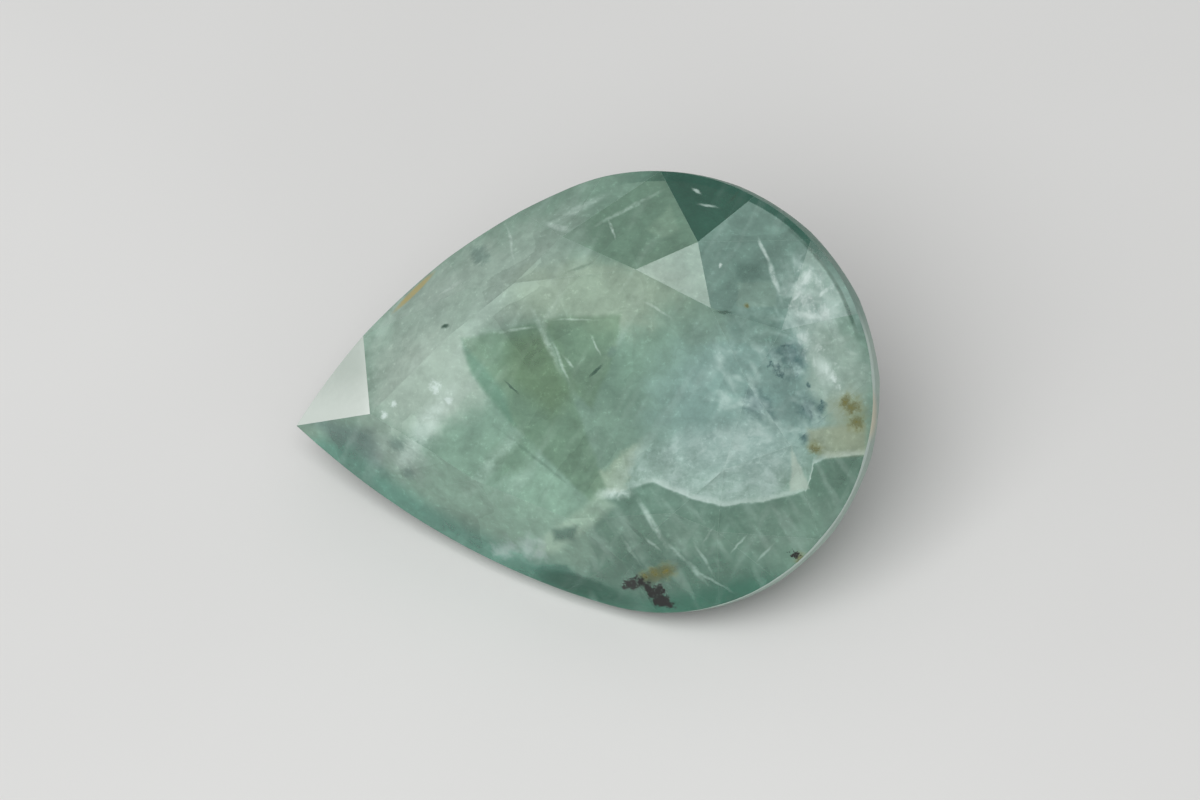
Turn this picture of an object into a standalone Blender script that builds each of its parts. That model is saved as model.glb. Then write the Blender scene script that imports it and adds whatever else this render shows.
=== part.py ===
"""A pear-cut grandidierite, faceted from one piece of rough and lying on a pavilion facet.

The stone is cut the way a faceting machine cuts it. It starts as a blank with the
outline of the girdle, and every facet is one flat ground off it: an azimuth round the
stone, a slope and a point that the flat passes through. Neighbouring facets meet at
shared points, worked out from those flats. In the stone's own frame the tip lies
towards -X, the head towards +X, the table faces +Z, and Z is 0 at the girdle's top edge.
"""

import math

import bmesh
import bpy
from mathutils import Matrix, Vector

NAME = "grandidierite"
METRES = 0.001

# Outline of the girdle, in millimetres, from the middle of the head's arc
TIP_REACH = 8.05
HEAD_RADIUS = 4.55
SHOULDER_RADIUS = 4.87
# Where the head's arc ends, and where the long flank arc begins, in degrees from the head
UPPER_SHOULDER, UPPER_FLANK = 37.0, 107.5
LOWER_FLANK = -110.5
OUTLINE_STEP = 0.2

# Heights, in millimetres
CROWN = 1.5
GIRDLE = 0.6
PAVILION = 3.8
# How far up the crown the tips of the star facets reach, and down the pavilion the lower halves
STAR_TIP = 0.7
STAR_TIP_AT_TIP = 0.9
LOWER_HALF = 0.55
LOWER_HALF_AT_TIP = 0.35

# Crown mains: azimuth, slope, sideways shift of the table corner in millimetres, and the
# azimuth where the break facets between this main and the next meet on the girdle
CROWN_MAINS = [
    (0, 34, 0, 17),
    (40, 34, -0.2, 58),
    (83, 36, 0, 98),
    (112.5, 45, -0.4, 121),
    (132, 41, 1.6, None),
    (-130, 42, -1.2, -125.5),
    (-121.5, 44, 0, -117.5),
    (-113.5, 43, 0, -96),
    (-79, 37, 0, -62),
    (-46, 34.5, 0, -21),
]

# Pavilion mains: azimuth and slope
PAVILION_MAINS = [
    (0, 41),
    (43, 41),
    (86, 41),
    (112, 42),
    (131, 42),
    (-131, 42),
    (-115, 41),
    (-84, 41),
    (-43, 41),
]
# The stone lies on this pavilion main
REST_MAIN = 6

CUT_TOLERANCE = 1e-4
MERGE = 5e-3
FLAT_LIMIT = math.radians(0.05)


def direction(azimuth):
    """The level direction at this azimuth, in degrees from the head."""
    return Vector((math.cos(math.radians(azimuth)), math.sin(math.radians(azimuth)), 0))


def outline_arcs(shoulder, flank, radius):
    """One side's arcs from the head to the tip, as (last azimuth, centre, radius).

    Each arc starts where the one before it ends, with the same tangent, and the last
    one reaches the tip.
    """
    centre = direction(shoulder) * (HEAD_RADIUS - radius)
    to_tip = Vector((-TIP_REACH, 0, 0)) - centre
    flat = direction(flank)
    offset = (to_tip.length_squared - radius**2) / (2 * (to_tip.dot(flat) - radius))
    return [
        (abs(shoulder), Vector(), HEAD_RADIUS),
        (abs(flank), centre, radius),
        (180, centre + flat * offset, radius - offset),
    ]


UPPER_ARCS = outline_arcs(UPPER_SHOULDER, UPPER_FLANK, SHOULDER_RADIUS)
LOWER_ARCS = outline_arcs(LOWER_FLANK / 2, LOWER_FLANK, HEAD_RADIUS)
TIP = Vector((-TIP_REACH, 0, 0))


def arc_at(azimuth):
    """The outline's arc whose outward direction takes in this azimuth."""
    arcs = UPPER_ARCS if azimuth >= 0 else LOWER_ARCS
    return next(arc for arc in arcs if abs(azimuth) <= arc[0])


def girdle_point(azimuth, height=0.0):
    """The point of the girdle that faces this azimuth."""
    _, centre, radius = arc_at(azimuth)
    return centre + direction(azimuth) * radius + Vector((0, 0, height))


def tip_azimuth(arcs):
    """The azimuth that a side's last arc faces at the tip."""
    out = TIP - arcs[-1][1]
    return math.degrees(math.atan2(out.y, out.x))


def outline():
    """The girdle's points all the way round from the tip, evenly spaced along its arcs."""
    points = []
    azimuth = tip_azimuth(LOWER_ARCS)
    last = tip_azimuth(UPPER_ARCS)
    while azimuth < last:
        points.append(girdle_point(azimuth))
        azimuth += math.degrees(OUTLINE_STEP / arc_at(azimuth)[2])
    return points


def flat_facet(azimuth, slope, point):
    """A flat through this point, leaning out at this azimuth: (point, outward normal).

    A slope over 90 degrees faces down, and cuts the pavilion.
    """
    normal = direction(azimuth) * math.sin(math.radians(slope))
    normal.z = math.cos(math.radians(slope))
    return point, normal


def flat_through(first, second, third):
    """The flat through three points, facing away from the middle of the girdle."""
    normal = (second - first).cross(third - first).normalized()
    middle = Vector((0, 0, -GIRDLE / 2))
    if normal.dot(first - middle) < 0:
        normal.negate()
    return first, normal


def meeting_point(one, other, height):
    """Where two flats meet at this height."""
    rows = Matrix((one[1], other[1], (0, 0, 1)))
    sides = Vector((one[0].dot(one[1]), other[0].dot(other[1]), height))
    return rows.inverted() @ sides


def neighbours(mains):
    """Each main's index with the next one's, all the way round."""
    return [(i, (i + 1) % len(mains)) for i in range(len(mains))]


def crown_flats():
    """The table, then the mains, stars and upper break facets."""
    mains, corners = [], []
    for azimuth, slope, shift, _ in CROWN_MAINS:
        foot = girdle_point(azimuth)
        mains.append(flat_facet(azimuth, slope, foot))
        inward = direction(azimuth) * (CROWN / math.tan(math.radians(slope)))
        sideways = direction(azimuth + 90) * shift
        corners.append(foot - inward - sideways + Vector((0, 0, CROWN)))
    flats = [(Vector((0, 0, CROWN)), Vector((0, 0, 1)))] + mains
    for i, j in neighbours(mains):
        at_tip = CROWN_MAINS[i][3] is None
        reach = STAR_TIP_AT_TIP if at_tip else STAR_TIP
        star_tip = meeting_point(mains[i], mains[j], CROWN * reach)
        flats.append(flat_through(corners[i], corners[j], star_tip))
        split = TIP if at_tip else girdle_point(CROWN_MAINS[i][3])
        flats.append(flat_through(star_tip, mains[i][0], split))
        flats.append(flat_through(star_tip, mains[j][0], split))
    return flats


def pavilion_mains():
    """The long facets under the girdle."""
    return [
        flat_facet(azimuth, 180 - slope, girdle_point(azimuth, -GIRDLE))
        for azimuth, slope in PAVILION_MAINS
    ]


def pavilion_flats():
    """The pavilion's mains, its lower break facets and the small culet."""
    mains = pavilion_mains()
    flats = list(mains)
    for i, j in neighbours(mains):
        here, after = PAVILION_MAINS[i][0], PAVILION_MAINS[j][0]
        at_tip = here > 0 > after
        reach = LOWER_HALF_AT_TIP if at_tip else LOWER_HALF
        meet = meeting_point(mains[i], mains[j], -GIRDLE - PAVILION * reach)
        split = girdle_point((here + after) / 2, -GIRDLE)
        if at_tip:
            split = TIP + Vector((0, 0, -GIRDLE))
        flats.append(flat_through(meet, mains[i][0], split))
        flats.append(flat_through(meet, mains[j][0], split))
    culet = Vector((0, 0, -GIRDLE - PAVILION))
    flats.append((culet, Vector((0, 0, -1))))
    return flats


def blank(collection):
    """The rough ground to the girdle's outline, as a filled curve made into a mesh."""
    curve = bpy.data.curves.new("blank", "CURVE")
    curve.dimensions = "2D"
    curve.fill_mode = "BOTH"
    curve.extrude = CROWN + GIRDLE + PAVILION
    points = outline()
    spline = curve.splines.new("POLY")
    spline.points.add(len(points) - 1)
    for spot, point in zip(spline.points, points):
        spot.co = (point.x, point.y, 0, 1)
    spline.use_cyclic_u = True
    guide = bpy.data.objects.new("blank", curve)
    collection.objects.link(guide)
    graph = bpy.context.evaluated_depsgraph_get()
    mesh = bpy.data.meshes.new_from_object(guide.evaluated_get(graph))
    bpy.data.objects.remove(guide)
    return mesh


def grind(stone, flat):
    """Takes off everything outside this flat, and closes the facet that it leaves."""
    point, normal = flat
    cut = bmesh.ops.bisect_plane(
        stone,
        geom=stone.verts[:] + stone.edges[:] + stone.faces[:],
        dist=CUT_TOLERANCE,
        plane_co=point,
        plane_no=normal,
        clear_outer=True,
    )
    rim = [item for item in cut["geom_cut"] if isinstance(item, bmesh.types.BMEdge)]
    open_rim = [edge for edge in rim if edge.is_boundary]
    if open_rim:
        bmesh.ops.contextual_create(stone, geom=open_rim)


def faceted_mesh(collection):
    """The cut stone, with each facet one flat face, in metres."""
    mesh = blank(collection)
    stone = bmesh.new()
    stone.from_mesh(mesh)
    bmesh.ops.remove_doubles(stone, verts=stone.verts, dist=MERGE)
    for flat in crown_flats() + pavilion_flats():
        grind(stone, flat)
    bmesh.ops.remove_doubles(stone, verts=stone.verts, dist=MERGE)
    bmesh.ops.dissolve_limit(
        stone, angle_limit=FLAT_LIMIT, verts=stone.verts, edges=stone.edges
    )
    bmesh.ops.recalc_face_normals(stone, faces=stone.faces)
    bmesh.ops.scale(stone, vec=Vector((METRES,) * 3), verts=stone.verts)
    stone.to_mesh(mesh)
    stone.free()
    mesh.name = NAME
    return mesh


def lay_down(stone):
    """Rests the stone on one pavilion main, with its box over the origin."""
    down = Vector((0, 0, -1))
    rotation = pavilion_mains()[REST_MAIN][1].rotation_difference(down).to_matrix()
    stone.rotation_euler = rotation.to_euler()
    corners = [rotation @ vertex.co for vertex in stone.data.vertices]
    lowest = Vector([min(corner[axis] for corner in corners) for axis in range(3)])
    highest = Vector([max(corner[axis] for corner in corners) for axis in range(3)])
    middle = (lowest + highest) / 2
    stone.location = (-middle.x, -middle.y, -lowest.z)


def stone_material():
    """Cloudy blue-green stone with a glassy polish."""
    material = bpy.data.materials.new("stone")
    material.use_nodes = True
    shader = material.node_tree.nodes["Principled BSDF"]
    shader.inputs["Base Color"].default_value = (0.24, 0.42, 0.35, 1)
    shader.inputs["Roughness"].default_value = 0.08
    shader.inputs["Metallic"].default_value = 0.0
    shader.inputs["IOR"].default_value = 1.6
    return material


def clear_scene():
    for item in list(bpy.data.objects):
        bpy.data.objects.remove(item, do_unlink=True)


def main():
    clear_scene()
    collection = bpy.data.collections.new(NAME)
    bpy.context.scene.collection.children.link(collection)
    stone = bpy.data.objects.new("stone", faceted_mesh(collection))
    collection.objects.link(stone)
    stone.data.materials.append(stone_material())
    lay_down(stone)


main()
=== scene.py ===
"""A pear-cut grandidierite lying on a pale floor, seen at its table.

The cut stone keeps the solid's facets, with the worn junctions of a real one. Its material is
see-through where the stone is clear and milky where it is clouded. Places on the stone are
given in its own frame: millimetres from the middle of the head's arc, tip towards -X, table
towards +Z, 0 at the girdle's top edge. Marks that the photograph shows are given where they
stand in it, in its 1200 x 800 pixels, and run into the stone along the line of sight.
"""

import math

import bmesh
import bpy
from mathutils import Matrix, Vector

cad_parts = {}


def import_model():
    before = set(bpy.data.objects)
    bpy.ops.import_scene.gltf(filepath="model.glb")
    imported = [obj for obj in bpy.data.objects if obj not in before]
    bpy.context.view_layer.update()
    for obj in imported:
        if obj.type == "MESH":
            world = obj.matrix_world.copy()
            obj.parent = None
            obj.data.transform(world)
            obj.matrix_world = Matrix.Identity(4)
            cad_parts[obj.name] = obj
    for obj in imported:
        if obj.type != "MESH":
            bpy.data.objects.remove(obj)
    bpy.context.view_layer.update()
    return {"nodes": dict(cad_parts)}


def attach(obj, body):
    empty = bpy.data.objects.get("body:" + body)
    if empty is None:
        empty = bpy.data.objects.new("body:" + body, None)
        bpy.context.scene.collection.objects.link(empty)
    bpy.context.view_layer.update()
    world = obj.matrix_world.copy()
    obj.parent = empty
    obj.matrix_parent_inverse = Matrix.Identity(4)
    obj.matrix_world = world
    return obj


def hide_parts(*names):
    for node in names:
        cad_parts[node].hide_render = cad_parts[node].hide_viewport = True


MM = 0.001

# The cut, in the stone's own frame
TIP_REACH, HEAD_RADIUS = 8.05, 4.55
GIRDLE, PAVILION = 0.6, 3.8
REST_AZIMUTH, REST_SLOPE = -115.0, 41.0

# The photograph: its size, the stone's middle in it, pixels per millimetre, and how far the
# stone's length is turned in the picture and swung away from it, in degrees
PHOTO_WIDTH, PHOTO_HEIGHT = 1200, 800
MIDDLE_IN_PHOTO = (662.3, 394.4)
PIXELS_PER_MM = 48.0
TURN, SWING = 4.66, 17.0

# The camera: its sensor, and how far it stands from the stone, in millimetres
SENSOR, CAMERA_DISTANCE = 36.0, 300.0
# How far in front of the stone's middle a look for a facet starts, in millimetres
LOOK_FROM = 20.0


def direction(azimuth):
    """The level direction at this azimuth of the stone, in degrees from the head."""
    return Vector((math.cos(math.radians(azimuth)), math.sin(math.radians(azimuth)), 0))


def facet_normal(azimuth, slope):
    """A facet's outward normal in the stone's frame. Pavilion slopes are over 90 degrees."""
    normal = direction(azimuth) * math.sin(math.radians(slope))
    normal.z = math.cos(math.radians(slope))
    return normal


def picture_axes():
    """The photograph's right, up and towards-the-viewer directions, in the stone's frame."""
    turn, swing = math.radians(TURN), math.radians(SWING)
    right = Vector((math.cos(turn), -math.sin(turn), 0)) * math.cos(swing)
    right.z = -math.sin(swing)
    up = Vector((math.sin(turn), math.cos(turn), 0))
    return right, up, right.cross(up)


PICTURE_RIGHT, PICTURE_UP, PICTURE_BACK = picture_axes()


class Lie:
    """How the stone lies in the frame, found from its resting facet and its corners."""

    def __init__(self, solid):
        down = Vector((0, 0, -1))
        resting = facet_normal(REST_AZIMUTH, 180 - REST_SLOPE)
        self.turn = resting.rotation_difference(down).to_matrix()
        back = self.turn.transposed()
        corners = [back @ vertex.co / MM for vertex in solid.data.vertices]
        lowest = Vector([min(corner[axis] for corner in corners) for axis in range(3)])
        self.shift = lowest + Vector((TIP_REACH, HEAD_RADIUS, GIRDLE + PAVILION))

    def place(self, point):
        """A point of the stone, in the frame's metres."""
        return self.turn @ (Vector(point) + self.shift) * MM

    def way(self, across):
        """A direction of the stone, in the frame."""
        return self.turn @ across

    def sight(self, pixel, depth=0.0):
        """The point that the photograph shows at this pixel, this deep behind the middle."""
        right = (pixel[0] - MIDDLE_IN_PHOTO[0]) / PIXELS_PER_MM
        up = (MIDDLE_IN_PHOTO[1] - pixel[1]) / PIXELS_PER_MM
        return self.place(PICTURE_RIGHT * right + PICTURE_UP * up - PICTURE_BACK * depth)

    def facet_at(self, stone, pixel):
        """The frame's normal of the facet that the photograph shows at this pixel."""
        start = self.sight(pixel, -LOOK_FROM)
        hit, _, normal, _ = stone.ray_cast(start, -self.way(PICTURE_BACK))
        if not hit:
            raise ValueError(f"no facet at {pixel}")
        return normal


def plain_object(name, data):
    """An object in the scene with this mesh, light or camera."""
    piece = bpy.data.objects.new(name, data)
    bpy.context.scene.collection.objects.link(piece)
    return piece


# Shader maths


def linear(*levels):
    """A colour from the photograph's 0 to 255 levels."""
    return tuple(
        level / 255 / 12.92 if level <= 10 else ((level / 255 + 0.055) / 1.055) ** 2.4
        for level in levels
    )


class Field:
    """A number, vector or colour over a surface: a node's output, used in expressions."""

    def __init__(self, finish, socket):
        self.finish, self.socket = finish, socket

    def _join(self, operation, first, second):
        wide = any(
            isinstance(side, Field) and side.socket.type != "VALUE" or isinstance(side, tuple)
            for side in (first, second)
        )
        kind = "VectorMath" if wide else "Math"
        return self.finish.node(kind, {"operation": operation}, {0: first, 1: second})

    def __add__(self, other):
        return self._join("ADD", self, other)

    def __radd__(self, other):
        return self._join("ADD", other, self)

    def __sub__(self, other):
        return self._join("SUBTRACT", self, other)

    def __rsub__(self, other):
        return self._join("SUBTRACT", other, self)

    def __mul__(self, other):
        return self._join("MULTIPLY", self, other)

    def __rmul__(self, other):
        return self._join("MULTIPLY", other, self)

    def __pow__(self, other):
        return self._join("POWER", self, other)

    def __or__(self, other):
        """The greater of two numbers: either mark."""
        return self._join("MAXIMUM", self, other)

    def __and__(self, other):
        """The lesser of two numbers: both marks."""
        return self._join("MINIMUM", self, other)

    def dot(self, vector):
        """The number that a vector has along another."""
        return self.finish.node("VectorMath", {"operation": "DOT_PRODUCT"}, {0: self, 1: vector}, 1)

    def off(self, spot):
        """How far a vector is from this spot."""
        return self.finish.node("VectorMath", {"operation": "DISTANCE"}, {0: self, 1: spot}, 1)

    def rise(self, low, high, most=1.0):
        """0 below low and this most above high, with a smooth step, or the other way round."""
        settings = {"interpolation_type": "SMOOTHSTEP"}
        if low > high:
            ends = {"From Min": high, "From Max": low, "To Min": most, "To Max": 0.0}
        else:
            ends = {"From Min": low, "From Max": high, "To Max": most}
        return self.finish.node("MapRange", settings, {"Value": self, **ends})

    def blend(self, low, high):
        """The colour low where this is 0, and high where it is 1."""
        settings = {"data_type": "RGBA"}
        return self.finish.node("Mix", settings, {0: self, 6: low, 7: high}, 2)


class Finish:
    """A material and its nodes."""

    def __init__(self, name):
        self.material = bpy.data.materials.new(name)
        self.material.use_nodes = True
        self.tree = self.material.node_tree
        self.tree.nodes.clear()

    def node(self, kind, settings=None, inputs=None, output=0):
        """A node of this kind, its settings made first, and the Field of one of its outputs."""
        made = self.tree.nodes.new("ShaderNode" + kind)
        for name, value in (settings or {}).items():
            if name == "border":
                self.bend(made.mapping, value)
            else:
                setattr(made, name, value)
        for key, value in (inputs or {}).items():
            self.feed(made.inputs[key], value)
        return Field(self, made.outputs[output])

    def feed(self, spot, value):
        """Gives a socket a link from a Field, or a value."""
        if isinstance(value, Field):
            self.tree.links.new(value.socket, spot)
        elif spot.type == "RGBA":
            spot.default_value = (*value, 1)
        elif spot.type == "VECTOR" and not isinstance(value, (tuple, Vector)):
            spot.default_value = (value,) * 3
        else:
            spot.default_value = value

    def bend(self, mapping, points):
        """Bends a curve node's line through these points, with straight runs between them."""
        line = mapping.curves[0].points
        line[0].location, line[1].location = points[0], points[-1]
        for across, along in points[1:-1]:
            line.new(across, along)
        for point in line:
            point.handle_type = "VECTOR"
        mapping.extend = "HORIZONTAL"
        mapping.update()

    def show(self, surface, **more):
        """The material with this surface, and with its volume if that is given."""
        made = self.tree.nodes.new("ShaderNodeOutputMaterial")
        for key, value in {"Surface": surface, **more}.items():
            self.feed(made.inputs[key], value)
        return self.material

    def noise(self, at, scale, detail=2.0, roughness=0.5, distortion=0.0):
        """Cloudy noise around 0.5, with lumps of about 1 / scale."""
        values = {
            "Vector": at,
            "Scale": scale,
            "Detail": detail,
            "Roughness": roughness,
            "Distortion": distortion,
        }
        return self.node("TexNoise", {}, values)

    def turned(self, at, turn, scale=1.0, shift=(0, 0, 0)):
        """Coordinates turned by this matrix, after scaling."""
        values = {
            "Vector": at,
            "Rotation": tuple(turn.to_euler()),
            "Scale": scale,
            "Location": tuple(shift),
        }
        return self.node("Mapping", {"vector_type": "POINT"}, values)


class StoneFinish(Finish):
    """A finish that knows where it is in the stone and in the photograph."""

    def __init__(self, name, lie):
        super().__init__(name)
        at = self.node("TexCoord", {}, {}, 3)
        self.stone = self.turned(at, lie.turn.transposed(), 1 / MM, -lie.shift)
        self.height = self.stone.dot((0, 0, 1))
        self.facing = self.node("NewGeometry", {}, {}, 1)
        self.deep = self.stone - self.facing * DEPTH_SHOWN
        shaken = {"Vector": self.deep, "Scale": 1.6, "Detail": 4.0, "Roughness": 0.6}
        self.shake = self.node("TexNoise", {}, shaken, 1) - 0.5
        self.mottle = self.noise(self.deep, 0.9, 3.0, 0.6, 0.4)
        bent = self.deep + self.shake * 0.8
        self.wisps = self.noise(bent * (1.0, 1.6, 1.0), 2.0, 4.0, 0.62)
        self.grain = self.noise(self.stone, 7.0, 3.0, 0.7)

    def find_in_photo(self):
        """The photograph's pixel that shows this spot, for firm and for wandering edges."""
        right, down = PICTURE_RIGHT * PIXELS_PER_MM, -PICTURE_UP * PIXELS_PER_MM
        across = self.stone.dot(tuple(right)) + MIDDLE_IN_PHOTO[0]
        along = self.stone.dot(tuple(down)) + MIDDLE_IN_PHOTO[1]
        self.pixel = self.node("CombineXYZ", {}, {0: across, 1: along, 2: 1.0})
        self.firm = self.pixel + self.shake * (FIRM_SHAKE, FIRM_SHAKE, 0.0)
        self.loose = self.pixel + self.shake * (LOOSE_SHAKE, LOOSE_SHAKE, 0.0)

    def blocks(self, at, scale):
        """A random tone for each angular block."""
        colour = self.node("TexVoronoi", {}, {"Vector": at, "Scale": scale}, 1)
        return colour.dot((0.6, 0.4, 0))

    def half_plane(self, at, start, end):
        """How far, in pixels, a spot lies to the right of the way from start to end."""
        way = (Vector(end) - Vector(start)).normalized()
        off = Vector((-way.y, way.x))
        return at.dot((off.x, off.y, -off.dot(Vector(start))))

    def patch(self, at, corners, soft):
        """1 inside a patch whose corners go clockwise in the photograph, with soft edges."""
        inside = None
        for start, end in zip(corners, corners[1:] + corners[:1]):
            side = self.half_plane(at, start, end)
            inside = side if inside is None else inside & side
        return inside.rise(-soft, soft)

    def below(self, at, border):
        """How far, in pixels, a spot lies below a border that runs across the photograph."""
        line = [(across / 1000, along / 1000) for across, along in border]
        edge = self.node("FloatCurve", {"border": line}, {1: at.dot((0.001, 0, 0))})
        return (at.dot((0, 0.001, 0)) - edge) * 1000

    def spindle(self, at, start, end, width, most=1.0, firm=0.15):
        """A mark from one spot to another that is widest in the middle and fades outwards."""
        start, end = Vector(start), Vector(end)
        middle, half = (start + end) / 2, (end - start) / 2
        way = half / half.length_squared
        off = Vector((-half.y, half.x)).normalized() / width
        along = at.dot((way.x, way.y, -way.dot(middle)))
        across = at.dot((off.x, off.y, -off.dot(middle)))
        far = (along * along + across * across) ** 0.5
        return far.rise(1.0, firm, most)

    def streaks(self, at, lines):
        """All of these streaks together: start, end, half width and strength."""
        marks = None
        for start, end, width, strength in lines:
            mark = self.spindle(at, start, end, width, strength)
            marks = mark if marks is None else marks | mark
        return marks

    def blots(self, at, spots, ragged, soft):
        """1 in round spots of a middle and reach, with their edges broken by the grain."""
        marks = None
        for across, along, reach in spots:
            far = at.off((across, along, 1.0)) * (1 / reach)
            marks = far if marks is None else marks & far
        edge = marks + (self.grain - 0.5) * ragged
        return edge.rise(1.0, 1.0 - soft)

    def strands(self, way, scale, stretch):
        """Noise drawn out this many degrees below the photograph's right, scale to the mm."""
        turn = Matrix.Rotation(math.radians(-way), 3, "Z")
        at = self.turned(self.firm, turn, 1 / PIXELS_PER_MM)
        at = at * (1 / stretch, 1.0, 0.0) + self.deep * 0.05
        return self.noise(at, scale, 2.0, 0.55)

    def facet(self, normal):
        """1 on the facet with this normal."""
        return self.facing.dot(tuple(normal)).rise(0.99961, 0.9999)


# How far under each facet the stone's clouds are seen, in millimetres
DEPTH_SHOWN = 0.9
# How far firm and loose edges wander, in the photograph's pixels
FIRM_SHAKE, LOOSE_SHAKE = 9.0, 42.0

# The clear stone: its refraction, and its absorption's colour and density
STONE_IOR = 1.6
CLEAR_GREEN, ABSORPTION = (0.26, 0.72, 0.56), 260.0

# Colours of the stone, as the photograph shows them
MILK = linear(170, 190, 177)
SAGE = linear(158, 180, 167)
GREEN = linear(132, 166, 148)
MOSS = linear(122, 158, 132)
OLIVE = linear(116, 146, 106)
WARM = linear(160, 180, 160)
TEAL = linear(96, 150, 134)
DEEP_TEAL = linear(8, 88, 66)
BLUE = linear(136, 170, 163)
SLATE = linear(82, 122, 124)
SNOW = linear(166, 189, 183)
WHITE = linear(216, 234, 228)
LOWER = linear(110, 148, 130)
MEADOW = linear(142, 178, 158)
RIM_GREEN = linear(96, 158, 140)
RUST = linear(150, 156, 104)
RUST_CORE = linear(116, 112, 44)
RUSTY = linear(160, 172, 146)
RUST_SMEAR = linear(70, 86, 44)
RUST_EDGE = linear(186, 168, 96)
BLACK = linear(4, 6, 2)
CREAM = linear(214, 206, 178)
# Painted shade on the crown's lower side
PAINTED_LOWER_SHADE = linear(90, 134, 116)
OVAL = linear(104, 140, 130)
DARK_LINE = linear(70, 106, 90)
BOTTOM_GREEN = linear(50, 130, 106)
CORNER_GREEN = linear(20, 98, 76)
# The rim and the girdle, at the stone's top and further down its head
RIM_TOP, RIM_HEAD = linear(50, 112, 94), linear(136, 170, 158)
GIRDLE_TOP, GIRDLE_HEAD = linear(40, 112, 90), linear(104, 146, 132)
GIRDLE_PALE = linear(158, 184, 172)
# Painted reflection on the tip's facet, darker and lighter, over the tip card's real one
TIP_REFLECTION_LOW, TIP_REFLECTION_HIGH = linear(190, 202, 193), linear(218, 227, 220)

# Broad clouds: start, end, half width, colour and share
CLOUDS = [
    ((330, 385), (620, 205), 62, SAGE, 0.85),
    ((345, 415), (510, 350), 66, MILK, 0.9),
    ((480, 300), (720, 290), 50, WARM, 0.75),
    ((610, 450), (890, 340), 110, BLUE, 0.9),
    ((812, 300), (856, 446), 40, SAGE, 0.7),
    ((410, 440), (600, 530), 62, MEADOW, 0.75),
    ((356, 424), (436, 484), 24, linear(156, 180, 168), 0.7),
    ((594, 506), (642, 440), 15, linear(176, 188, 160), 0.35),
    ((486, 482), (548, 420), 24, linear(116, 152, 128), 0.6),
    ((596, 412), (650, 350), 36, linear(116, 150, 132), 0.5),
    ((734, 398), (836, 410), 26, linear(104, 138, 134), 0.28),
]

# Patches with a firm edge: corners clockwise, softness of the edge, colour and share
WINDOW_OUTLINE = [
    (461, 339), (545, 321), (566, 378), (628, 486), (592, 502), (508, 420), (472, 373),
]
WINDOW = [
    (WINDOW_OUTLINE, 3, MOSS, 0.75),
    ([(545, 320), (622, 314), (616, 352), (592, 408), (572, 388)], 3, linear(120, 154, 126), 0.65),
    ([(462, 340), (482, 337), (500, 385), (540, 430), (508, 420), (472, 374)], 4, TEAL, 0.35),
    ([(508, 340), (546, 330), (574, 394), (552, 416), (502, 378)], 14, OLIVE, 0.5),
]
HEAD_PATCHES = [
    ([(724, 312), (772, 312), (778, 344), (738, 346)], 7, linear(110, 144, 132), 0.6),
    ([(737, 282), (774, 282), (776, 308), (737, 308)], 2, linear(140, 170, 156), 0.6),
    ([(735, 264), (760, 262), (760, 280), (735, 281)], 5, linear(96, 134, 122), 0.4),
    ([(540, 238), (582, 208), (590, 240), (576, 254)], 9, linear(142, 168, 154), 0.6),
    ([(647, 229), (670, 207), (680, 231), (662, 238)], 3, linear(142, 174, 152), 0.6),
    ([(706, 302), (734, 340), (690, 345), (642, 318)], 3, linear(140, 170, 154), 0.3),
    ([(806, 428), (866, 424), (866, 456), (825, 457), (808, 446)], 4, RUSTY, 0.75),
]
LOWER_PATCHES = [
    ([(791, 448), (808, 488), (788, 491)], 2, MILK, 0.9),
    ([(600, 492), (614, 506), (560, 550), (534, 556), (546, 536)], 5, linear(160, 188, 168), 0.7),
    ([(527, 567), (566, 565), (592, 598), (560, 596)], 3, linear(30, 108, 88), 0.7),
    ([(553, 530), (577, 526), (575, 540), (556, 541)], 4, linear(76, 122, 108), 0.7),
    ([(296, 412), (372, 432), (384, 474), (330, 440)], 8, linear(98, 132, 128), 0.6),
    ([(745, 512), (812, 496), (840, 500), (820, 545), (760, 550)], 10, linear(128, 160, 144), 0.6),
]

# The border of the snowy cloud above and the clearer green stone below it
LEDGE = [
    (592, 506), (600, 497), (628, 487), (653, 482), (690, 497), (724, 505), (762, 501),
    (806, 490), (812, 462), (825, 457), (864, 454),
]

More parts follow.
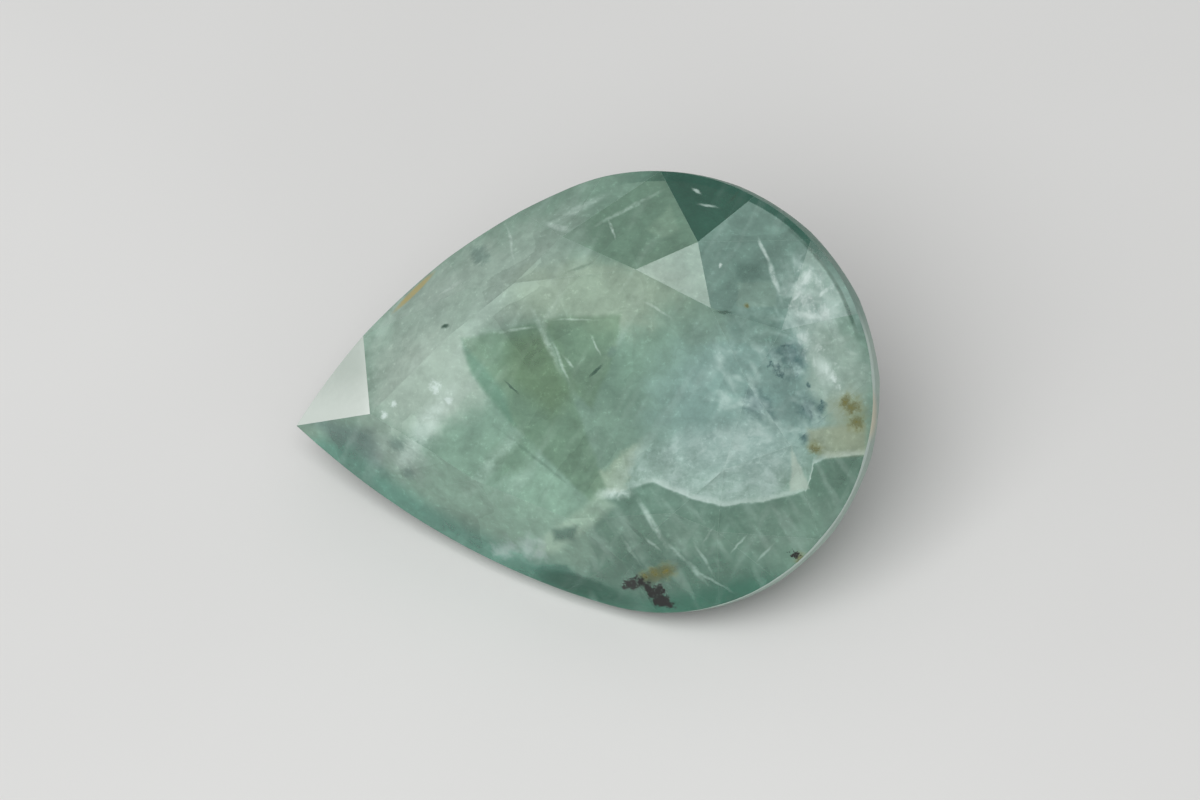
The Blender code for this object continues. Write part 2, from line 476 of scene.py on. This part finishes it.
# Light lines, pale feathers in the stone with painted highlights along two facet edges at the top:
# start, end, half width and strength
PALE_LINES_AND_HIGHLIGHTS = [
    ((526, 296), (566, 384), 5.0, 0.25),
    ((550, 336), (572, 388), 2.4, 0.3),
    ((482, 334), (546, 326), 2.6, 0.35),
    ((546, 321), (606, 320), 1.8, 0.25),
    ((505, 219), (516, 266), 2.2, 0.25),
    ((610, 522), (648, 574), 3.0, 0.2),
    ((560, 352), (578, 372), 2.0, 0.35),
    ((588, 332), (604, 362), 1.8, 0.3),
    ((640, 300), (676, 322), 2.0, 0.25),
    ((430, 300), (470, 276), 2.4, 0.25),
    ((642, 536), (664, 552), 2.0, 0.3),
    ((700, 548), (716, 520), 2.0, 0.3),
    ((728, 556), (748, 530), 2.0, 0.3),
    ((752, 566), (776, 540), 2.2, 0.25),
    ((630, 486), (676, 560), 5.0, 0.34),
    ((656, 530), (718, 594), 4.0, 0.3),
    ((580, 234), (676, 184), 3.2, 0.25),
    ((538, 230), (620, 188), 5.0, 0.25),
    ((606, 216), (617, 242), 1.8, 0.6),
    ((691, 187), (703, 196), 2.4, 0.7),
    ((694, 203), (722, 209), 2.2, 0.5),
    ((540, 221), (574, 232), 5.0, 0.35),
    ((757, 236), (770, 268), 2.8, 0.9),
    ((766, 258), (780, 298), 4.5, 0.7),
    ((786, 312), (836, 320), 5.0, 0.6),
    ((784, 300), (812, 266), 6.0, 0.5),
    ((689, 533), (716, 580), 3.0, 0.25),
    ((676, 560), (744, 598), 2.2, 0.25),
    ((590, 496), (640, 490), 9.0, 0.6),
    ((812, 350), (834, 392), 12.0, 0.45),
    ((792, 322), (818, 362), 10.0, 0.25),
    ((466, 368), (386, 486), 16.0, 0.4),
    ((450, 512), (540, 408), 12.0, 0.15),
]

DARK_LINES = [
    ((586, 380), (605, 363), 2.4, 0.9),
    ((502, 378), (520, 396), 1.6, 0.7),
    ((712, 311), (735, 314), 2.2, 0.6),
    ((724, 208), (742, 188), 2.0, 0.6),
    ((440, 329), (451, 324), 2.6, 1.0),
    ((486, 418), (584, 498), 2.4, 0.2),
    ((624, 520), (650, 544), 2.4, 0.3),
    ((560, 276), (596, 262), 2.0, 0.25),
]

# Round spots: middle and reach
SLATE_SPOTS = [(786, 360, 25), (758, 402, 19), (801, 406, 13), (822, 410, 12), (806, 432, 10)]
SLATE_FLECKS = [
    (773, 376, 5), (768, 372, 4), (791, 372, 6), (782, 350, 7), (797, 404, 5), (804, 411, 4),
    (762, 406, 6), (822, 404, 5), (808, 383, 4),
]
TIP_OVALS = [
    (338, 438, 12), (362, 437, 8), (397, 443, 11), (408, 474, 9), (480, 255, 13), (612, 352, 8),
]
# White spots: those near the tip are painted glints, the others white flecks in the stone
WHITE_SPOTS_AND_GLINTS = [
    (393, 405, 4), (384, 414, 5), (448, 400, 6), (436, 388, 9), (720, 266, 3), (833, 379, 4),
]
CLOUD_SPOTS = [(503, 549, 18), (526, 547, 18), (541, 553, 14)]
CRUMPLED_SPOTS = [(806, 276, 12), (818, 292, 16), (796, 300, 14), (826, 310, 14), (806, 314, 12)]
FEATHER_SPOTS = [(800, 338, 12), (813, 354, 13), (826, 372, 12), (834, 386, 8)]
RUST_SPOTS = [
    (852, 407, 16), (856, 422, 15), (846, 402, 12), (746, 307, 4), (667, 570, 13), (655, 574, 11),
    (644, 577, 8), (814, 447, 11), (800, 558, 10),
]
BLACK_SPOTS = [
    (625, 585, 4), (632, 584, 6), (640, 582, 5), (647, 585, 5), (652, 591, 7), (659, 590, 6),
    (658, 598, 8), (665, 600, 7), (671, 604, 4), (795, 555, 5),
]

# Facets that the photograph shows in a tone of their own: a pixel, the colour and its share. The
# pale tones of the star and head facets are painted reflection, over the lights that shine in them
FACET_TONES_AND_REFLECTIONS = [
    ((706, 208), linear(38, 104, 86), 0.85),
    ((684, 276), linear(160, 186, 172), 0.6),
    ((824, 300), linear(152, 180, 174), 0.4),
    ((735, 250), linear(124, 158, 149), 0.7),
    ((765, 222), linear(124, 158, 149), 0.7),
    ((640, 225), linear(120, 156, 134), 0.8),
]


def stone_relief(s):
    """How the clouds, blocks and grain in the stone lighten and darken it."""
    blocks = s.blocks(s.deep + s.shake * 0.25, 0.9)
    flecks = s.grain.rise(0.58, 0.74)
    clouds = s.mottle * 0.5 + s.wisps * 0.4 + s.grain * 0.2
    return clouds + blocks * 0.16 + flecks * 0.14 + 0.36


def paint(s, colour, patches):
    """Lays patches of colour with a firm edge over a colour."""
    for corners, soft, tone, share in patches:
        colour = (s.patch(s.firm, corners, soft) * share).blend(colour, tone)
    return colour


def snow_look(s, colour):
    """The snowy cloud, the netted dark spots over it and the veins beside them."""
    veins = (s.strands(64, 2.6, 2.5) | s.strands(8, 3.0, 2.0)).rise(0.5, 0.68) * s.wisps
    snow = s.spindle(s.loose, (596, 502), (826, 446), 64, 1.0, 0.5)
    frost = (s.grain.rise(0.42, 0.68) * 0.6) | s.wisps.rise(0.4, 0.64)
    colour = (snow * (0.4 + frost * 0.4)).blend(colour, SNOW)
    slate = s.blots(s.loose, SLATE_SPOTS, 0.6, 0.95) * 0.75
    slate = slate | (s.blots(s.loose, SLATE_FLECKS, 2.2, 0.9) * 0.8)
    colour = slate.blend(colour, SLATE)
    veined = s.spindle(s.loose, (700, 480), (880, 240), 90, 1.0, 0.5)
    return (veined * veins * 0.38).blend(colour, WHITE)


def rim_look(s, colour, across, along):
    """The green rim where the stone thins, and its dark line and pale band round the head."""
    reach = s.node("VectorMath", {"operation": "LENGTH"}, {0: s.stone * (1.0, 1.0, 0.0)}, 1)
    upper = across.rise(600, 700) * along.rise(345, 315)
    line = reach.rise(4.36, 4.41) * upper * across.rise(770, 820)
    colour = (line * 0.5).blend(colour, DEEP_TEAL)
    band = along.rise(225, 300).blend(RIM_TOP, RIM_HEAD)
    colour = (reach.rise(4.43, 4.46) * upper * 0.85).blend(colour, band)
    lower_rim = s.height.rise(0.7, 0.2) * along.rise(432, 448) * across.rise(620, 560)
    colour = (lower_rim * 0.8).blend(colour, RIM_GREEN)
    bottom_rim = s.height.rise(0.5, 0.1) * along.rise(560, 590)
    colour = (bottom_rim * 0.85).blend(colour, BOTTOM_GREEN)
    corner = s.spindle(s.firm, (530, 570), (640, 604), 12, 0.8, 0.5)
    return corner.blend(colour, CORNER_GREEN)


def crown_look(s, lie, stone):
    """The colour of the milk under the crown and table, with painted reflection, glints, highlights
    and shade, and how much milk there is.
    """
    s.find_in_photo()
    across, along = s.firm.dot((1, 0, 0)), s.firm.dot((0, 1, 0))
    colour = GREEN
    for start, end, width, tone, share in CLOUDS:
        colour = s.spindle(s.loose, start, end, width, share, 0.4).blend(colour, tone)
    # Facet tones, the pale ones on the star and head facets painted reflection
    for spot, tone, share in FACET_TONES_AND_REFLECTIONS:
        colour = (s.facet(lie.facet_at(stone, spot)) * share).blend(colour, tone)
    colour = paint(s, colour, WINDOW)
    needles = (s.strands(78, 6.0, 2.6) | s.strands(-50, 5.0, 2.6)).rise(0.48, 0.66)
    crumpled = s.patch(s.loose, [(778, 262), (806, 252), (850, 290), (858, 320), (792, 318)], 10)
    colour = (crumpled * (0.15 + needles * 0.4)).blend(colour, SNOW)
    clumps = s.blots(s.firm, CRUMPLED_SPOTS + FEATHER_SPOTS, 3.0, 0.9)
    colour = (clumps * (0.1 + needles * 0.5)).blend(colour, WHITE)
    colour = paint(s, snow_look(s, colour), HEAD_PATCHES)

    ledge = s.below(s.firm, LEDGE)
    under = ledge.rise(-1.0, 2.5) * across.rise(585, 596)
    colour = (under * 0.85).blend(colour, LOWER)
    lip = ledge.rise(-8.0, -1.0) * ledge.rise(1.0, -1.0) * across.rise(630, 660) * s.wisps
    colour = (lip * 0.6).blend(colour, WHITE)
    # Painted shade: a darker band along the stone's lower side
    shade = s.spindle(s.loose, (540, 582), (800, 572), 36, 0.6, 0.4)
    colour = shade.blend(colour, PAINTED_LOWER_SHADE)
    colour = paint(s, colour, LOWER_PATCHES)
    colour = rim_look(s, colour, across, along)

    ovals = s.blots(s.firm, TIP_OVALS, 1.1, 0.8)
    colour = (ovals * 0.55).blend(colour, OVAL)
    cloud = s.blots(s.loose, CLOUD_SPOTS, 1.2, 0.9)
    colour = (cloud * 0.7).blend(colour, SNOW)

    threads = s.strands(54, 3.0, 5.0).rise(0.46, 0.72) * under * 0.14
    threads = threads | (s.strands(-58, 2.6, 7.0).rise(0.5, 0.75) * 0.1)
    # Pale feathers and threads, with painted highlights along two facet edges at the top
    light = s.streaks(s.firm, PALE_LINES_AND_HIGHLIGHTS) * (s.wisps.rise(0.3, 0.6) * 0.7 + s.grain * 0.6)
    # White spots added, those near the tip painted glints
    light = light | threads | (s.blots(s.firm, WHITE_SPOTS_AND_GLINTS, 2.6, 0.9) * 0.8)
    colour = light.blend(colour, WHITE)
    colour = s.streaks(s.firm, DARK_LINES).blend(colour, DARK_LINE)
    bands = s.strands(57, 1.5, 5.0) + s.strands(-48, 1.2, 4.0)
    colour = colour * stone_relief(s) * (0.75 + bands * 0.25)
    # Painted reflection on the tip's facet, lighter lower down, over the tip card's real one
    tip = s.facet(lie.facet_at(stone, TIP_FACET))
    painted_tip_reflection = (along + s.grain * 16.0).rise(370, 424).blend(TIP_REFLECTION_LOW, TIP_REFLECTION_HIGH)
    colour = (tip * 0.92).blend(colour, painted_tip_reflection)
    return stains(s, colour)


def stains(s, colour):
    """The colour with rust and dark crystals, and how much milk there is."""
    grit = s.noise(s.stone, 15.0, 3.0, 0.8)
    edge_stain = s.spindle(s.pixel, (388, 316), (438, 267), 3.6, 0.9, 0.4)
    colour = (edge_stain * (0.4 + grit)).blend(colour, RUST_EDGE)
    halo = s.spindle(s.loose, (846, 380), (856, 460), 30, 0.5, 0.2)
    colour = halo.blend(colour, RUSTY)
    smear = s.spindle(s.firm, (634, 584), (684, 564), 9, 0.8, 0.3)
    colour = smear.blend(colour, RUST_SMEAR)
    rust = s.blots(s.firm, RUST_SPOTS, 1.3, 1.0) * (0.35 + grit * 0.9)
    colour = rust.blend(colour, rust.rise(0.3, 0.9).blend(RUST, RUST_CORE))
    black = s.blots(s.firm + (grit - 0.5) * (22.0, 14.0, 0.0), BLACK_SPOTS, 2.0, 0.35)
    colour = black.blend(colour, BLACK)
    bright = colour.dot((0.3, 0.5, 0.2)).rise(0.1, 0.5)
    return colour, (0.55 + bright * 0.4) | (rust | black)


def glassy(s, colour, milk, roughness):
    """Clear green glass where there is no milk, and a milky body under the polish elsewhere."""
    clear = s.node(
        "BsdfPrincipled",
        {},
        {
            "Base Color": (1, 1, 1),
            "Roughness": roughness,
            "IOR": STONE_IOR,
            "Transmission Weight": 1.0,
        },
    )
    cloudy = s.node(
        "BsdfPrincipled", {}, {"Base Color": colour, "Roughness": roughness, "IOR": STONE_IOR}
    )
    surface = s.node("MixShader", {}, {0: milk, 1: clear, 2: cloudy})
    inside = s.node("VolumeAbsorption", {}, {"Color": CLEAR_GREEN, "Density": ABSORPTION})
    return s.show(surface, Volume=inside)


def crown_finish(lie, stone):
    """The polished facets that the photograph shows."""
    s = StoneFinish("polished crown", lie)
    colour, milk = crown_look(s, lie, stone)
    return glassy(s, colour, milk, s.grain.rise(0.2, 0.9) * 0.05 + 0.02)


def body_look(s):
    """The clouded stone where the photograph doesn't show it, and how much milk there is.

    Each facet has a tone of its own, because each looks into another part of the stone.
    """
    colour = s.mottle.rise(0.36, 0.64).blend(GREEN, SAGE)
    snow = s.mottle.rise(0.48, 0.68) * (0.3 + s.wisps.rise(0.36, 0.66) * 0.3)
    colour = snow.blend(colour, SNOW)
    colour = (s.mottle.rise(0.5, 0.3) * 0.5).blend(colour, TEAL)
    tone = s.noise(s.facing, 2.3, 1.0).rise(0.3, 0.7)
    colour = colour * (0.4 + stone_relief(s) * 0.6) * (0.78 + tone * 0.44)
    milk = 0.15 + colour.dot((0.3, 0.5, 0.2)).rise(0.1, 0.5) * 0.5
    return colour, milk


def pavilion_finish(lie):
    """The polished facets underneath, with the same stone showing through."""
    s = StoneFinish("polished pavilion", lie)
    colour, milk = body_look(s)
    return glassy(s, colour, milk, s.grain.rise(0.2, 0.9) * 0.05 + 0.02)


def worn_finish(lie):
    """The worn junctions between facets: the same stone, matt."""
    s = StoneFinish("worn junction", lie)
    colour, milk = body_look(s)
    return glassy(s, colour, 0.6 + milk * 0.4, s.grain * 0.4 + 0.1)


def girdle_finish(lie):
    """The girdle, ground but not polished: pale round the head, dark towards the top."""
    s = StoneFinish("ground girdle", lie)
    s.find_in_photo()
    across, along = s.pixel.dot((1, 0, 0)), s.pixel.dot((0, 1, 0))
    lip = s.height.rise(-0.26, -0.18)
    colour = (lip * 0.7).blend(GIRDLE_PALE, WHITE)
    colour = (s.grain * 0.4).blend(colour, SAGE)
    cream = s.spindle(s.pixel, (868, 380), (868, 446), 10, 0.8, 0.5)
    colour = cream.blend(colour, CREAM)
    top = along.rise(345, 300) * across.rise(600, 700)
    shade = along.rise(225, 310).blend(GIRDLE_TOP, GIRDLE_HEAD)
    colour = (top * 0.9).blend(colour, shade)
    return glassy(s, colour, 0.85 + s.grain * 0.15, 0.25 + s.grain * 0.4)


def floor_finish():
    """A pale, nearly even floor."""
    s = Finish("floor")
    at = s.node("TexCoord", {}, {}, 3)
    drift = s.noise(at, 40.0, 3.0)
    colour = drift.rise(0.3, 0.7).blend(FLOOR_LOW, FLOOR_HIGH)
    surface = s.node("BsdfPrincipled", {}, {"Base Color": colour, "Roughness": 0.5 + drift * 0.2})
    return s.show(surface)


# The cut stone, with the junctions of its facets worn

# How wide the worn strips are and how close corners merge, in millimetres
WEAR, MERGE = 0.02, 0.002
# The angles up to which faces are one facet, and from which facets have a junction
SAME_FACET, JUNCTION = math.radians(0.3), math.radians(3.2)
# How far a face's normal may lean towards or away from the table and be on the girdle
GIRDLE_LEAN = 0.2
# The material slots
CROWN_FACET, PAVILION_FACET, WORN, GIRDLED = range(4)


def cut_stone(solid, lie):
    """A copy of the solid with its facets whole and a narrow worn strip along each junction."""
    stone = bmesh.new()
    stone.from_mesh(solid.data)
    bmesh.ops.remove_doubles(stone, verts=stone.verts, dist=MERGE * MM)
    bmesh.ops.dissolve_limit(
        stone, angle_limit=SAME_FACET, verts=stone.verts, edges=stone.edges
    )
    table = lie.way(Vector((0, 0, 1)))
    for face in stone.faces:
        upward = face.normal.dot(table)
        face.material_index = CROWN_FACET if upward > 0 else PAVILION_FACET
        if abs(upward) < GIRDLE_LEAN:
            face.material_index = GIRDLED
            face.smooth = True
    junctions = [
        edge
        for edge in stone.edges
        if len(edge.link_faces) == 2
        and edge.calc_face_angle() > JUNCTION
        and not all(face.smooth for face in edge.link_faces)
    ]
    bmesh.ops.bevel(
        stone,
        geom=junctions,
        offset=WEAR * MM,
        offset_type="WIDTH",
        segments=1,
        profile=0.5,
        affect="EDGES",
        clamp_overlap=True,
        material=WORN,
    )
    mesh = bpy.data.meshes.new("stone")
    stone.to_mesh(mesh)
    stone.free()
    return plain_object("cut_stone", mesh)


# Floor, light and camera

# Half the floor's width in metres, its depth under the stone in millimetres, and its tones
FLOOR_REACH, FLOOR_DEPTH = 1.2, 0.02
FLOOR_LOW, FLOOR_HIGH = (0.74, 0.74, 0.73), (0.78, 0.78, 0.77)
# The light of the white studio all round
STUDIO_LIGHT = 0.4


def floor():
    """The floor, a hair under the stone."""
    mesh = bpy.data.meshes.new("floor")
    sheet = bmesh.new()
    bmesh.ops.create_grid(sheet, x_segments=2, y_segments=2, size=FLOOR_REACH)
    sheet.to_mesh(mesh)
    sheet.free()
    piece = plain_object("floor", mesh)
    piece.location.z = -FLOOR_DEPTH * MM
    piece.data.materials.append(floor_finish())


def softbox(name, at, aim, width, height, radiance, shines):
    """A soft area light at a point, aimed at another. One that shines only shows in facets."""
    light = bpy.data.lights.new(name, "AREA")
    light.shape = "RECTANGLE"
    light.size, light.size_y = width * MM, height * MM
    light.energy = radiance * math.pi * light.size * light.size_y
    lamp = plain_object(name, light)
    lamp.location = at
    lamp.rotation_euler = (at - aim).to_track_quat("Z", "Y").to_euler()
    lamp.visible_camera = False
    lamp.visible_glossy = shines
    lamp.visible_transmission = False
    lamp.visible_diffuse = not shines


def mirrored(lie, normal):
    """Where the viewer sees a light in a facet with this normal, as a direction in the frame."""
    sight = lie.way(PICTURE_BACK)
    return 2 * normal.dot(sight) * normal - sight


# Lights that shine in one facet each: a name, a pixel on the facet, and the light's distance,
# width and height in millimetres and radiance
SHINING = [
    ("star light", (684, 276), 200, 40, 40, 1.6),
    ("head light", (824, 300), 200, 36, 36, 0.8),
]
TIP_FACET = (345, 395)
TIP_CARD_DISTANCE, TIP_CARD_WIDTH, TIP_CARD_HEIGHT, TIP_CARD_RADIANCE = 60, 14, 5.5, 1.4

# The key light: how far it stands, its width, how far to the right of and above the viewer it
# is in degrees, and its radiance
KEY_DISTANCE, KEY_WIDTH, KEY_RIGHT, KEY_UP, KEY_RADIANCE = 200, 180, -16, 10, 3.35


def facet_lights(lie, stone, middle):
    """The lights that the viewer sees shining in a facet. The tip's is a low upright card."""
    for name, pixel, distance, width, height, radiance in SHINING:
        out = mirrored(lie, lie.facet_at(stone, pixel))
        softbox(name, middle + out * distance * MM, middle, width, height, radiance, True)
    tip = lie.sight(TIP_FACET)
    out = mirrored(lie, lie.facet_at(stone, TIP_FACET))
    out.z = 0
    card = tip + out.normalized() * TIP_CARD_DISTANCE * MM
    card.z = tip.z = TIP_CARD_HEIGHT * MM / 2
    softbox("tip card", card, tip, TIP_CARD_WIDTH, TIP_CARD_HEIGHT, TIP_CARD_RADIANCE, True)


def room_lights(lie, middle):
    """The key light and the white studio."""
    right = KEY_DISTANCE * math.tan(math.radians(KEY_RIGHT)) * PIXELS_PER_MM
    up = KEY_DISTANCE * math.tan(math.radians(KEY_UP)) * PIXELS_PER_MM
    key = lie.sight((MIDDLE_IN_PHOTO[0] + right, MIDDLE_IN_PHOTO[1] - up), -KEY_DISTANCE)
    softbox("key light", key, middle, KEY_WIDTH, KEY_WIDTH, KEY_RADIANCE, False)
    world = bpy.data.worlds.new("studio")
    world.use_nodes = True
    ground = world.node_tree.nodes["Background"]
    ground.inputs["Color"].default_value = (1, 1, 1, 1)
    ground.inputs["Strength"].default_value = STUDIO_LIGHT
    bpy.context.scene.world = world


def camera(lie):
    """The photograph's camera, so that the stone's middle falls where it does there."""
    data = bpy.data.cameras.new("camera")
    data.sensor_width = SENSOR
    data.lens = SENSOR * CAMERA_DISTANCE / (PHOTO_WIDTH / PIXELS_PER_MM)
    data.clip_start, data.clip_end = 0.01, 3.0
    eye = plain_object("camera", data)
    frame_axes = [lie.way(axis) for axis in (PICTURE_RIGHT, PICTURE_UP, PICTURE_BACK)]
    turn = Matrix(frame_axes).transposed().to_4x4()
    at = lie.sight((PHOTO_WIDTH / 2, PHOTO_HEIGHT / 2), -CAMERA_DISTANCE)
    eye.matrix_world = Matrix.Translation(at) @ turn
    bpy.context.scene.camera = eye


def light_paths():
    """Enough bounces for light to find its way through a faceted stone."""
    paths = bpy.context.scene.cycles
    paths.max_bounces = 14
    paths.diffuse_bounces = 2
    paths.glossy_bounces = 8
    paths.transmission_bounces = 10
    bpy.context.scene.view_settings.view_transform = "Standard"


def main():
    """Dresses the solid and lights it."""
    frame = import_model()
    solid = frame["nodes"]["stone"]
    lie = Lie(solid)
    stone = cut_stone(solid, lie)
    bpy.context.view_layer.update()
    finishes = crown_finish(lie, stone), pavilion_finish(lie), worn_finish(lie), girdle_finish(lie)
    for finish in finishes:
        stone.data.materials.append(finish)
    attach(stone, "root")
    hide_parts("stone")
    floor()
    middle = lie.place((0, 0, 0))
    facet_lights(lie, stone, middle)
    room_lights(lie, middle)
    camera(lie)
    light_paths()


main()
